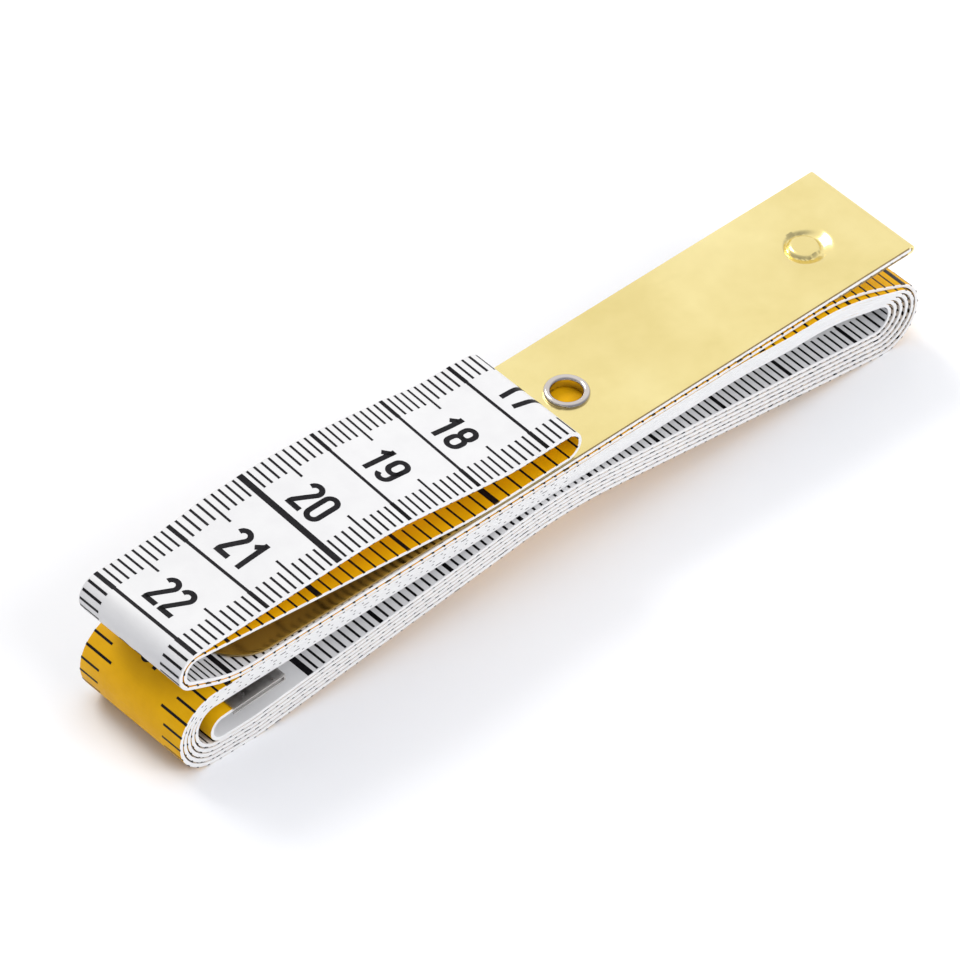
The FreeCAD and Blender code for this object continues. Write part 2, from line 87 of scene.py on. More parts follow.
# The flap: nested left folds, the ramp into them, and the rollers its two runs pass.
FLAP_BEND_RADIUS = 1.75
FLAP_FOLD_PAST = 4.7
FLAP_FOLD_LIFT = 4.225
FLAP_FOLD_RADIUS = 1.68
FLAP_FOLD_SLACK = 0.045
RAMP_RADIUS = 14.0
RAMP_LEAD = 8.2
SAG_RADIUS = 60.0
SAG_LEAD = 9.0
DIP_RADIUS = 25.0
DIP_LEAD = 6.4
HUMP_RADIUS = 60.0
HUMP_LEAD = 22.7
HUMP_RISE = 0.42

# The roll: left folds, belly under them, waist, right folds and the shoulder over them.
LEFT_FOLD_PAST = 1.6
LEFT_FOLD_RADIUS = 2.7
LEFT_FOLD_STEP = 0.09
LEFT_FOLD_PRESS = 0.05
BELLY_RADIUS = 12.0
BELLY_LEAD = 4.6
BELLY_SAG = 0.15
BELLY_STEP = 0.87
WAIST_X = -53.0
WAIST_RADIUS = 60.0
WAIST_DROP = 0.12
WAIST_GAP = 0.08
SHOULDER_X = -16.2
SHOULDER_RADIUS = 27.0
RIGHT_FOLD_X = -5.0
RIGHT_FOLD_DROP = 4.25
RIGHT_FOLD_RADIUS = 2.02
RIGHT_STEP_OUT = 0.46
RIGHT_STEP_DOWN = 0.27
RIGHT_STEP_RADIUS = 0.88
HOOK_LEAD = 0.7
HOOK_RADIUS = 1.5
TAIL_ARM = 8.3
TAIL_RISE = 0.4


# ------------------------------------------------------------ the tape's path
CW = -1.0
CCW = 1.0
TURNS = 5
INNER_FOLD = 2
FLAP_BEND = 4
OUTER_FOLD = 7
END_FOLD = 10
TURN_ROLLERS = 5


def flap_rollers(tongue):
    """Rollers from the zero end, under the blade, round the flap and back."""
    fold_x = -BLADE_LENGTH - FLAP_FOLD_PAST
    fold_z = tongue + FLAP_FOLD_LIFT
    outer = FLAP_FOLD_RADIUS + TAPE + SEAT + FLAP_FOLD_SLACK
    ramp_x = fold_x + RAMP_LEAD
    bend = FLAP_BEND_RADIUS
    bend_x = EYELET_X - EYELET_RIM - FLAP_EYELET_GAP - HALF - bend
    low = BLADE / 2 + SEAT + HALF
    high = low + 2 * bend
    return [
        (TAPE_END, tongue, 0.0, CW),
        (ramp_x, tongue + RAMP_RADIUS, RAMP_RADIUS, CW),
        (fold_x, fold_z, FLAP_FOLD_RADIUS, CW),
        (bend_x - SAG_LEAD, low + SAG_RADIUS, SAG_RADIUS, CCW),
        (bend_x, low + bend, bend, CCW),
        (bend_x - DIP_LEAD, high + DIP_RADIUS, DIP_RADIUS, CW),
        (fold_x + HUMP_LEAD, fold_z + outer + HUMP_RISE - HUMP_RADIUS, HUMP_RADIUS, CCW),
        (fold_x, fold_z, outer, CCW),
        (ramp_x, tongue + RAMP_RADIUS, RAMP_RADIUS + TAPE + SEAT, CCW),
    ]


def rollers():
    """(x, z, radius, turn) of every roller the tape would run over, zero end first."""
    tongue = -(BLADE + TAPE) / 2
    under_left = tongue - TAPE - SEAT
    under_right = under_left - EYELET_ROOM
    top_left = under_left - PITCH * TURNS
    top_right = under_right - LEAF_ROOM - PITCH * TURNS
    waist_top = (top_left + top_right) / 2 - TAPE - WAIST_DROP
    row = flap_rollers(tongue)
    left_x = -BLADE_LENGTH - LEFT_FOLD_PAST
    left_z = top_left - LEFT_FOLD_RADIUS
    belly_x = left_x + BELLY_LEAD
    stacked = (PITCH - 2 * LEFT_FOLD_PRESS) * (TURNS - 1)
    belly_z = left_z - LEFT_FOLD_RADIUS - stacked - BELLY_SAG + BELLY_RADIUS
    for k in range(TURNS, -1, -1):
        top = under_right if k == TURNS else top_right + PITCH * k
        row.append((SHOULDER_X, top - SHOULDER_RADIUS, SHOULDER_RADIUS, CW))
        row.append((RIGHT_FOLD_X + RIGHT_STEP_OUT * PITCH * k,
                    top_right - RIGHT_FOLD_DROP - RIGHT_STEP_DOWN * PITCH * k,
                    RIGHT_FOLD_RADIUS + RIGHT_STEP_RADIUS * PITCH * k, CW))
        row.append((WAIST_X, waist_top - WAIST_RADIUS, WAIST_RADIUS - (TAPE + WAIST_GAP) * k, CCW))
        belly = BELLY_RADIUS - BELLY_STEP * PITCH * (TURNS - k)
        row.append((belly_x, belly_z, belly, CW))
        if k > 0:
            row.append((left_x - LEFT_FOLD_STEP * (k - 1), left_z + LEFT_FOLD_PRESS * (k - 1),
                        LEFT_FOLD_RADIUS + (PITCH - LEFT_FOLD_PRESS) * (k - 1), CW))
    hook_x = left_x + HOOK_LEAD
    hook_z = belly_z - belly + HOOK_RADIUS
    row.append((hook_x, hook_z, HOOK_RADIUS, CW))
    row.append((hook_x + TAIL_ARM, hook_z + HOOK_RADIUS + TAIL_RISE, 0.0, CW))
    return row


def belt(row):
    """Straight runs and arcs of a belt over the rollers, and where each arc lies."""
    heads = []
    for a, b in zip(row, row[1:]):
        dx = b[0] - a[0]
        dz = b[1] - a[1]
        lean = (b[3] * b[2] - a[3] * a[2]) / math.hypot(dx, dz)
        heads.append(math.atan2(dz, dx) - math.asin(lean))
    runs = []
    marks = []
    travel = 0.0
    for i, (x, z, r, turn) in enumerate(row):
        first = travel
        if 0 < i < len(row) - 1:
            sweep = heads[i] - heads[i - 1]
            sweep = math.atan2(math.sin(sweep), math.cos(sweep))
            if sweep * turn < -TINY:
                sweep += turn * 2 * math.pi
            runs.append(((x, z), heads[i - 1], turn * r, abs(sweep) * r, travel))
            travel += abs(sweep) * r
        marks.append((first, travel))
        if i < len(row) - 1:
            nx, nz = -math.sin(heads[i]), math.cos(heads[i])
            a = (x - nx * turn * r, z - nz * turn * r)
            b = row[i + 1]
            c = (b[0] - nx * b[3] * b[2], b[1] - nz * b[3] * b[2])
            span = math.hypot(c[0] - a[0], c[1] - a[1])
            runs.append((a, heads[i], 0.0, span, travel))
            travel += span
    return runs, marks, travel


ROW = rollers()
RUNS, MARKS, TOTAL = belt(ROW)
STARTS = [run[4] for run in RUNS]


def run_at(along):
    """The run or arc of the path on which a place lies."""
    low, high = 0, len(STARTS) - 1
    while low < high:
        middle = (low + high + 1) // 2
        if STARTS[middle] <= along:
            low = middle
        else:
            high = middle - 1
    return RUNS[low]


def on_path(along, lift):
    """Point of the path at a distance from the zero end, lifted to the yellow side."""
    base, head, radius, _, start = run_at(along)
    step = along - start
    if radius == 0.0:
        nx, nz = -math.sin(head), math.cos(head)
        return (base[0] + math.cos(head) * step + nx * lift,
                base[1] + math.sin(head) * step + nz * lift)
    head += step / radius
    nx, nz = -math.sin(head), math.cos(head)
    return base[0] - nx * (radius - lift), base[1] - nz * (radius - lift)


def ease(x, low, high):
    """A soft step from 0 to 1 between low and high."""
    f = min(1.0, max(0.0, (x - low) / (high - low)))
    return f * f * (3 - 2 * f)


# The top of the flap is a little twisted: its back edge stands higher than its front.
TWIST_RISE = 0.9
TWIST_END = 0.4
TWIST_BEFORE = 2.0
TWIST_START = 2.5
TWIST_FULL = 14.0
TWIST_FADE = (16.0, 8.0)


def twist(along):
    """How much higher the back edge is, along the flap's upper run."""
    bend = MARKS[FLAP_BEND][1]
    fold = MARKS[OUTER_FOLD][0]
    if not bend - TWIST_BEFORE < along < fold:
        return 0.0
    up = TWIST_END * ease(along, bend - TWIST_BEFORE, bend + TWIST_START)
    up += (TWIST_RISE - TWIST_END) * ease(along, bend + TWIST_START, bend + TWIST_FULL)
    return up * (1.0 - ease(along, fold - TWIST_FADE[0], fold - TWIST_FADE[1]))


# The roll leans: each inner layer of its upper half lies a little further back than
# the one over it, and the lower half comes forward again.
UPPER_LEAN = 0.14
LOWER_LEAN = 0.05
# Close to the right folds the upper half steps out under the outermost layer.
STEP_OUT = 0.6
STEP_OUT_LEAD = 12.0
LOWER_UNEVEN = 0.03
UPPER_UNEVEN = 0.02
TAIL_LEAN = 0.3
random.seed(7)
DRIFT = [(0.0, 0.0), (MARKS[END_FOLD][0], 0.0)]
for turn in range(TURNS + 1):
    right = END_FOLD + TURN_ROLLERS * turn
    low = LOWER_LEAN * turn + random.uniform(-LOWER_UNEVEN, LOWER_UNEVEN)
    DRIFT += [(MARKS[right][1], low), (MARKS[right + 2][1], low)]
    if turn < TURNS:
        high = UPPER_LEAN * (turn + 1) + random.uniform(-UPPER_UNEVEN, UPPER_UNEVEN)
        ramp = MARKS[right + 4][0]
        DRIFT += [(MARKS[right + 3][1], high), (ramp - STEP_OUT_LEAD, high),
                  (ramp, high - STEP_OUT), (MARKS[right + 4][1], high - STEP_OUT)]
DRIFT.append((TOTAL, TAIL_LEAN))


def drift(along):
    """How far back the tape lies, eased between the places in DRIFT."""
    for (a, ya), (b, yb) in zip(DRIFT, DRIFT[1:]):
        if a <= along <= b:
            return ya + (yb - ya) * ease(along, a, b)
    return 0.0


def lay(co):
    """From the tape drawn out flat (along, across, lift) to where it lies folded."""
    along = min(max(co.x, 0.0), TOTAL)
    high = twist(along) * (co.y + WIDTH / 2) / WIDTH
    x, z = on_path(along, co.z - high)
    return Vector((x, co.y + drift(along), z))


# ------------------------------------------------- standing it on the table
def rest_matrix():
    """Tilt that stands the bundle on its left belly and its outer right fold."""
    right = ROW[END_FOLD]
    left = ROW[END_FOLD + 2]
    dx = right[0] - left[0]
    dz = right[1] - left[1]
    lean = (right[2] - left[2]) / math.hypot(dx, dz)
    tilt = math.atan2(dz, dx) - math.asin(lean)
    low = -math.sin(tilt) * left[0] + math.cos(tilt) * left[1] - left[2] - HALF
    edge_right = math.cos(tilt) * right[0] + math.sin(tilt) * right[1] + right[2] + HALF
    edge_left = min(math.cos(tilt) * x + math.sin(tilt) * z - r - HALF
                    for x, z, r, _ in (ROW[END_FOLD + 3], ROW[OUTER_FOLD]))
    shift = Vector((-(edge_right + edge_left) / 2, 0, -low))
    return Matrix.Translation(shift) @ Matrix.Rotation(tilt, 4, "Y")


REST = rest_matrix()
TO_TABLE = Matrix.Scale(MM, 4) @ REST


# ------------------------------------------------------------ materials
# Depth of the relief in metres, the span that a noise really fills, and the shares of
# rolling and of wear in the brass.
FINE = 0.00002
COARSE = 0.00008
NOISE_LOW = 0.3
NOISE_HIGH = 0.7
ROLLED_SHARE = 0.45
WORN_SHARE = 0.55


class Paint:
    """A few node helpers for one material."""

    def __init__(self, name, colour, roughness, metallic=0.0):
        self.material = bpy.data.materials.new(name)
        self.material.use_nodes = True
        self.tree = self.material.node_tree
        self.shader = self.tree.nodes["Principled BSDF"]
        self.shader.inputs["Base Color"].default_value = (*colour, 1)
        self.shader.inputs["Roughness"].default_value = roughness
        self.shader.inputs["Metallic"].default_value = metallic
        self.coordinates = self.add("ShaderNodeTexCoord")

    def add(self, kind, **values):
        node = self.tree.nodes.new(kind)
        for key, value in values.items():
            setattr(node, key, value)
        return node

    def link(self, a, b):
        self.tree.links.new(a, b)

    def mapped(self, source, scale):
        place = self.add("ShaderNodeMapping")
        place.inputs["Scale"].default_value = scale
        self.link(self.coordinates.outputs[source], place.inputs["Vector"])
        return place.outputs["Vector"]

    def noise(self, vector, scale, detail=2.0, roughness=0.5):
        node = self.add("ShaderNodeTexNoise")
        node.inputs["Scale"].default_value = scale
        node.inputs["Detail"].default_value = detail
        node.inputs["Roughness"].default_value = roughness
        self.link(vector, node.inputs["Vector"])
        return node.outputs["Fac"]

    def ramp(self, fac, stops):
        node = self.add("ShaderNodeValToRGB")
        elements = node.color_ramp.elements
        while len(elements) < len(stops):
            elements.new(0.5)
        for element, (place, colour) in zip(elements, stops):
            element.position = place
            element.color = (*colour, 1)
        self.link(fac, node.inputs["Fac"])
        return node.outputs["Color"]

    def levels(self, fac, low, high):
        node = self.add("ShaderNodeMapRange")
        node.inputs["From Min"].default_value = NOISE_LOW
        node.inputs["From Max"].default_value = NOISE_HIGH
        node.inputs["To Min"].default_value = low
        node.inputs["To Max"].default_value = high
        self.link(fac, node.inputs["Value"])
        return node.outputs["Result"]

    def bump(self, height, distance, strength, after=None):
        node = self.add("ShaderNodeBump")
        node.inputs["Distance"].default_value = distance
        node.inputs["Strength"].default_value = strength
        self.link(height, node.inputs["Height"])
        if after is not None:
            self.link(after, node.inputs["Normal"])
        return node.outputs["Normal"]

    def wave(self, vector, scale, distortion=0.0):
        node = self.add("ShaderNodeTexWave")
        node.inputs["Scale"].default_value = scale
        node.inputs["Distortion"].default_value = distortion
        self.link(vector, node.inputs["Vector"])
        return node.outputs["Fac"]

    def shade(self, socket, value):
        self.link(value, self.shader.inputs[socket])


def printed_film(name, light, dark, roughness, specular=0.42):
    """PVC film with the faint weave of the yarn under it, read from the tape's UV map."""
    film = Paint(name, light, roughness)
    uv = film.mapped("UV", (1, 1, 1))
    patches = film.noise(uv, 0.35, 3.0)
    film.shade("Base Color", film.ramp(patches, [(0.35, dark), (0.65, light)]))
    handled = film.noise(uv, 2.5, 3.0)
    film.shade("Roughness", film.levels(handled, roughness - 0.06, roughness + 0.08))
    warp = film.wave(film.mapped("UV", (0, 1, 0)), 0.55, 0.4)
    weft = film.wave(film.mapped("UV", (1, 0, 0)), 0.55, 0.4)
    woven = film.add("ShaderNodeMath", operation="MULTIPLY")
    film.link(warp, woven.inputs[0])
    film.link(weft, woven.inputs[1])
    grain = film.bump(film.noise(uv, 9.0, 4.0), FINE, 0.25)
    film.shade("Normal", film.bump(woven.outputs["Value"], FINE, 0.22, grain))
    film.shader.inputs["Specular IOR Level"].default_value = specular
    return film.material


def printing_ink():
    """Black ink, matt, a little uneven."""
    ink = Paint("printing_ink", (0.010, 0.009, 0.011), 0.5)
    ink.shader.inputs["Specular IOR Level"].default_value = 0.12
    where = ink.mapped("Object", (1, 1, 1))
    tone = ink.noise(where, 4000.0, 2.0)
    stops = [(0.35, (0.004, 0.0035, 0.005)), (0.7, (0.012, 0.011, 0.013))]
    ink.shade("Base Color", ink.ramp(tone, stops))
    ink.shade("Roughness", ink.levels(ink.noise(where, 1500.0, 2.0), 0.34, 0.52))
    return ink.material


# Painted shade: the brass is darker and browner where the flap covers it, left of these places.
FLAP_SHADE_FROM = -4.0
FLAP_SHADE_FULL = -20.0
FLAP_SHADE_COLOUR = (0.88, 0.64, 0.26, 1)


def satin_brass():
    """Rolled and worn brass sheet, with painted shade under the flap."""
    brass = Paint("satin_brass", (0.95, 0.80, 0.38), 0.24, 1.0)
    where = brass.mapped("Object", (1, 1, 1))
    tone = brass.noise(where, 60.0, 5.0, 0.6)
    stops = [(0.3, (0.80, 0.66, 0.275)), (0.5, (0.87, 0.73, 0.33)), (0.72, (0.94, 0.81, 0.40))]
    unshaded = brass.ramp(tone, stops)
    # Painted shade: left of the flap's edge, the brass colour is multiplied by a darker brown.
    place = brass.add("ShaderNodeSeparateXYZ")
    brass.link(where, place.inputs["Vector"])
    shaded_under_flap = brass.add("ShaderNodeMapRange", interpolation_type="SMOOTHSTEP")
    shaded_under_flap.inputs["From Min"].default_value = FLAP_SHADE_FROM * MM
    shaded_under_flap.inputs["From Max"].default_value = FLAP_SHADE_FULL * MM
    brass.link(place.outputs["X"], shaded_under_flap.inputs["Value"])
    flap_shade = brass.add("ShaderNodeMix", data_type="RGBA", blend_type="MULTIPLY")
    brass.link(shaded_under_flap.outputs["Result"], flap_shade.inputs["Factor"])
    brass.link(unshaded, flap_shade.inputs[6])
    flap_shade.inputs[7].default_value = FLAP_SHADE_COLOUR
    brass.shade("Base Color", flap_shade.outputs[2])
    rolled = brass.noise(brass.mapped("Object", (60, 3500, 900)), 1.0, 3.0, 0.6)
    worn = brass.noise(where, 160.0, 4.0)
    smear = brass.add("ShaderNodeMath", operation="MULTIPLY_ADD")
    smear.inputs[1].default_value = ROLLED_SHARE
    brass.link(rolled, smear.inputs[0])
    wear = brass.add("ShaderNodeMath", operation="MULTIPLY")
    wear.inputs[1].default_value = WORN_SHARE
    brass.link(worn, wear.inputs[0])
    brass.link(wear.outputs["Value"], smear.inputs[2])
    brass.shade("Roughness", brass.levels(smear.outputs["Value"], 0.15, 0.27))
    scratches = brass.bump(rolled, FINE, 0.12)
    brass.shade("Normal", brass.bump(worn, COARSE, 0.1, scratches))
    return brass.material


MOTTLE = 0.86


def plated(name, colour, roughness):
    """Metal with an even skin, slightly mottled and dented."""
    metal = Paint(name, colour, roughness, 1.0)
    where = metal.mapped("Object", (1, 1, 1))
    mottle = metal.noise(where, 700.0, 3.0)
    metal.shade("Roughness", metal.levels(mottle, roughness - 0.05, roughness + 0.1))
    tint = tuple(MOTTLE * c for c in colour)
    tone = metal.noise(where, 260.0, 2.0)
    metal.shade("Base Color", metal.ramp(tone, [(0.3, tint), (0.7, colour)]))
    metal.shade("Normal", metal.bump(metal.noise(where, 900.0, 3.0), FINE, 0.15))
    return metal.material


CUT_EDGE = printed_film("cut_edge", (0.75, 0.745, 0.735), (0.71, 0.705, 0.70), 0.55)
WHITE = printed_film("white_film", (0.68, 0.676, 0.675), (0.655, 0.65, 0.652), 0.42, 0.3)
YELLOW = printed_film("yellow_film", (0.80, 0.425, 0.002), (0.74, 0.38, 0.0015), 0.5, 0.12)
INK = printing_ink()
BRASS = satin_brass()
# Painted shade: the brass sheet's upright rim faces get a dark brown instead of the brass colour.
BRASS_RIM_SHADE = plated("brass_rim_painted_shade", (0.34, 0.24, 0.10), 0.4)
NICKEL = plated("nickel_plate", (0.68, 0.63, 0.60), 0.09)
CLIP_STEEL = plated("clip_steel", (0.56, 0.54, 0.52), 0.32)


# ------------------------------------------------------------ making pieces
def finish_piece(name, bm, material, matrix=TO_TABLE, sharp=40.0):
    """Bring a mesh to the table and make it an object of one material."""
    bmesh.ops.transform(bm, matrix=matrix, verts=bm.verts)
    bmesh.ops.recalc_face_normals(bm, faces=bm.faces)
    mesh = bpy.data.meshes.new(name)
    bm.to_mesh(mesh)
    bm.free()
    mesh.materials.append(material)
    mesh.shade_smooth()
    mesh.set_sharp_from_angle(angle=math.radians(sharp))
    piece = bpy.data.objects.new(name, mesh)
    bpy.context.scene.collection.objects.link(piece)
    return piece


STRAIGHT_STEP = 3.0
CURVED_STEP = 0.8
ARC_STEP = math.radians(5.0)
EDGE_ROUND = 0.05
EDGE_CHAMFER = 0.3
AT_END = 1e-4
UPRIGHT = 0.5
LOOKS = 20
# Divisions across the tape where it is twisted.
ACROSS = (6.0, 4.0, 2.0, 0.0, -2.0, -4.0, -6.0)


def stations(first, last):
    """Where along the tape a ring of vertices is needed: close in the folds."""
    places = [first]
    for _, _, radius, span, start in RUNS:
        low = max(first, start)
        high = min(last, start + span)
        if high - low < TINY:
            continue
        step = STRAIGHT_STEP
        if radius != 0.0:
            step = min(CURVED_STEP, abs(radius) * ARC_STEP)
        elif twist((low + high) / 2) > 0:
            step = CURVED_STEP
        count = max(1, math.ceil((high - low) / step))
        places += [low + (high - low) * (i + 1) / count for i in range(count)]
    return places


def film(name, material, first, last, low, high):
    """One film of the tape between two places: a flat strip drawn out, then folded."""
    bm = bmesh.new()
    layer = bm.loops.layers.uv.new("UVMap")
    twisted = any(twist(first + (last - first) * i / LOOKS) > 0 for i in range(LOOKS + 1))
    between = ACROSS if twisted else ()
    side = WIDTH / 2
    outside, inside = (low, high) if low < 0 and high < HALF else (high, low)
    toward = 1.0 if inside > outside else -1.0
    chamfer = EDGE_CHAMFER * EDGE_ROUND
    rounding = [(side - EDGE_ROUND, outside), (side - chamfer, outside + toward * chamfer),
                (side, outside + toward * EDGE_ROUND), (side, inside)]
    corners = [(y, outside) for y in reversed(between)] + rounding
    corners += [(y, inside) for y in between]
    corners += [(-y, z) for y, z in reversed(rounding)]
    ring = [bm.verts.new((first, y, z)) for y, z in corners]
    cap = bm.faces.new(ring)
    places = stations(first, last)
    for before, after in zip(places, places[1:]):
        grown = bmesh.ops.extrude_face_region(bm, geom=[cap])
        moved = [v for v in grown["geom"] if isinstance(v, bmesh.types.BMVert)]
        cap = [f for f in grown["geom"] if isinstance(f, bmesh.types.BMFace)][0]
        bmesh.ops.translate(bm, vec=(after - before, 0, 0), verts=moved)
    for face in bm.faces:
        for loop in face.loops:
            loop[layer].uv = (loop.vert.co.x, loop.vert.co.y)
    for face in bm.faces:
        middle = face.calc_center_median()
        at_end = min(abs(middle.x - first), abs(middle.x - last)) < AT_END
        face.material_index = 1 if at_end or abs(face.normal.y) > UPRIGHT else 0
    for vert in bm.verts:
        vert.co = lay(vert.co)
    piece = finish_piece(name, bm, material)
    piece.data.materials.append(CUT_EDGE)
    return piece


DRILL_DEPTH = 6.0


def punch(piece, x, radius):
    """Cut the hole of the eyelet or of the stake through a film under the blade."""
    bm = bmesh.new()
    bmesh.ops.create_cone(bm, cap_ends=True, segments=48, radius1=radius, radius2=radius,
                          depth=DRILL_DEPTH, matrix=Matrix.Translation((x, 0, 0)))
    drill = finish_piece("drill", bm, CUT_EDGE)
    cut = piece.modifiers.new("hole", "BOOLEAN")
    cut.operation = "DIFFERENCE"
    cut.object = drill
    cut.solver = "EXACT"
    whole = piece.evaluated_get(bpy.context.evaluated_depsgraph_get())
    pierced = bpy.data.meshes.new_from_object(whole)
    piece.modifiers.clear()
    old = piece.data
    piece.data = pierced
    pierced.name = piece.name
    bpy.data.meshes.remove(old)
    bpy.data.objects.remove(drill)


# ------------------------------------------------------------ the printing
# The last centimetre line lies this far left of the blade's bend.
LAST_LINE_X = -88.5


def last_line():
    """How far along the tape the last centimetre line lies, on the roll's innermost run."""
    for base, head, _, _, start in RUNS:
        if start >= MARKS[-4][1] - TINY:
            return start + (base[0] - LAST_LINE_X) / abs(math.cos(head))
    return TOTAL


# How the printed scale lies on the folded tape: (length of tape, print), straight between.
KNOTS = [(-0.2, 0.0), (100.8, 101.0), (152.6, 152.4), (164.5, 163.2), (239.4, 238.0),
         (last_line(), 1500.0)]


def tape_at(print_mm):
    """Where on the tape a millimetre of the print lies."""
    for (a, pa), (b, pb) in zip(KNOTS, KNOTS[1:]):
        if print_mm <= pb:
            return a + (b - a) * (print_mm - pa) / (pb - pa)
    a, pa = KNOTS[-1]
    return a + print_mm - pa


INK_OVER = 0.018
INK_UNDER = 0.012
WHITE_SIDE = -1.0
YELLOW_SIDE = 1.0
EDGE_CLEAR = 0.06
EDGE_INK_DEEP = 0.09
EDGE_INK_IN = 0.005
EDGE_INK_THICK = 0.03
EDGE_INK_OVER = 0.01
RUNS_OFF = 0.15
CLEAN_EDGES = 48.0
BAR_STEP = 0.3


def pressed_flat(along):
    """Whether a place lies on top of the roll near its right folds, where edges stay clean."""
    return any(MARKS[left + 2][0] - CLEAN_EDGES < along < MARKS[left + 2][0]
               for left in range(END_FOLD + 3, END_FOLD + 3 + TURN_ROLLERS * TURNS, TURN_ROLLERS))


def edge_dot(bm, centre, wide, side, end):
    """Where a bar runs off the cut edge, its ink is seen on the edge too."""
    height = side * (HALF - EDGE_INK_DEEP / 2 + EDGE_INK_OVER)
    place = (centre, end * (WIDTH / 2 - EDGE_INK_IN), height)
    size = (wide, EDGE_INK_THICK, EDGE_INK_DEEP + EDGE_INK_OVER, 1)
    bmesh.ops.create_cube(bm, size=1.0, matrix=Matrix.Translation(place) @ Matrix.Diagonal(size))


def bar(bm, centre, wide, low, high, side):
    """One printed bar across the tape."""
    count = max(1, math.ceil(wide / BAR_STEP))
    middle = side * (HALF + (INK_OVER - INK_UNDER) / 2)
    box = Matrix.Translation((centre, (low + high) / 2, middle))
    box @= Matrix.Diagonal((wide, high - low, INK_OVER + INK_UNDER, 1))
    made = bmesh.ops.create_cube(bm, size=1.0, matrix=box)["verts"]
    if count > 1:
        edges = dict.fromkeys(e for v in made for e in v.link_edges
                              if abs(e.verts[0].co.x - e.verts[1].co.x) > wide / 2)
        bmesh.ops.subdivide_edges(bm, edges=list(edges), cuts=count - 1)


DIGIT_HEIGHT = 4.5
DIGIT_TRACK = 2.42
PEN = 0.66
BOWL = 0.76
DIGIT_TOP = DIGIT_HEIGHT - PEN / 2 - BOWL
DIGIT_LOW = PEN / 2 + BOWL


def round_part(x, z, radius, first, last):
    """Points of an arc of a numeral, in degrees."""
    count = max(2, round(abs(last - first) / 12))
    return [(x + radius * math.cos(math.radians(first + (last - first) * i / count)),
             z + radius * math.sin(math.radians(first + (last - first) * i / count)))
            for i in range(count + 1)]


def loop_part(top, low, radius):
    """A closed long loop between the middles of its upper and its lower round."""
    return round_part(0, top, radius, 0, 180) + round_part(0, low, radius, 180, 360)


def pen_strokes(digit):
    """Middle lines of the pen for each numeral: (points, closed)."""
    high = DIGIT_HEIGHT
    top = high - PEN / 2
    low = PEN / 2
    if digit == "0":
        return [(loop_part(DIGIT_TOP, DIGIT_LOW, BOWL), True)]
    if digit == "1":
        flag = [(0.42, high - 0.3), (-0.52, high - 1.25)]
        return [([(0.28, 0), (0.28, high)], False), (flag, False)]
    if digit == "2":
        hook = round_part(0, DIGIT_TOP, BOWL, 172, -28)
        return [(hook + [(-0.62, 0.75), (-0.7, low)], False), ([(-0.98, low), (1.02, low)], False)]
    if digit == "3":
        upper = round_part(0, DIGIT_TOP, BOWL, 168, -62)
        lower = round_part(0, DIGIT_LOW + 0.05, BOWL + 0.04, 62, -168)
        return [(upper, False), (lower, False), ([(-0.15, 2.38), (0.4, 2.38)], False)]
    if digit == "4":
        return [([(0.2, high), (-0.72, 1.2)], False), ([(-1.0, 1.15), (1.05, 1.15)], False),
                ([(0.45, 0), (0.45, 2.5)], False)]
    if digit == "5":
        bowl = round_part(0, 1.95, BOWL, 150, 0) + round_part(0, DIGIT_LOW, BOWL, 0, -165)
        return [(bowl, False), ([(-0.62, 2.15), (-0.62, top)], False),
                ([(-0.88, top), (0.9, top)], False)]
    if digit in "69":
        stem = [(-BOWL, 1.5)] + round_part(0, DIGIT_TOP, BOWL, 180, 14)
        strokes = [(loop_part(1.9, DIGIT_LOW, BOWL), True), (stem, False)]
        if digit == "9":
            strokes = [([(-x, high - z) for x, z in points], closed) for points, closed in strokes]
        return strokes
    if digit == "7":
        return [([(-0.95, top), (1.0, top)], False), ([(0.72, top), (-0.25, 0)], False)]
    return [(loop_part(DIGIT_TOP + 0.05, 3.08, BOWL - 0.05), True),
            (loop_part(1.66, DIGIT_LOW, BOWL), True)]


def pen_line(bm, points, closed):
    """A flat stroke of the pen along a line of points: an edge chain drawn out sideways."""
    count = len(points)
    sides = []
    for i, (x, z) in enumerate(points):
        before = points[(i - 1) % count] if closed or i > 0 else (x, z)
        after = points[(i + 1) % count] if closed or i < count - 1 else (x, z)
        a = Vector((x - before[0], z - before[1]))
        b = Vector((after[0] - x, after[1] - z))
        a = a.normalized() if a.length > TINY else b.normalized()
        b = b.normalized() if b.length > TINY else a
        bisector = (a + b).normalized()
        out = PEN / 2 / max(0.5, bisector.dot(a))
        sides.append(Vector((-bisector.y, bisector.x, 0)) * out)
    chain = [bm.verts.new((x, z, 0)) for x, z in points]
    pairs = list(zip(chain, chain[1:])) + ([(chain[-1], chain[0])] if closed else [])
    edges = [bm.edges.new(pair) for pair in pairs]
    index = {v: i for i, v in enumerate(chain)}
    grown = bmesh.ops.extrude_edge_only(bm, edges=edges)
    fresh = [g for g in grown["geom"] if isinstance(g, bmesh.types.BMVert)]
    for vert in fresh:
        old = [e.other_vert(vert) for e in vert.link_edges if e.other_vert(vert) in index][0]
        vert.co = old.co - sides[index[old]]
    for vert, i in index.items():
        vert.co += sides[i]


SAME_PLACE = 1e-3


def without_doubles(points):
    """The points of a stroke without repeats next to each other."""
    kept = []
    for point in points:
        if not kept or math.dist(point, kept[-1]) > SAME_PLACE:
            kept.append(point)
    if math.dist(kept[0], kept[-1]) < SAME_PLACE:
        kept.pop()
    return kept


digit_meshes = {}


def digit_mesh(digit):
    """A flat numeral drawn with a pen of even width, condensed like a rule's figures."""
    if digit not in digit_meshes:
        bm = bmesh.new()
        for points, closed in pen_strokes(digit):
            pen_line(bm, without_doubles(points), closed)
        mesh = bpy.data.meshes.new("numeral")
        bm.to_mesh(mesh)
        bm.free()
        digit_meshes[digit] = mesh
    return digit_meshes[digit]


NUMERAL_STEP = 0.4


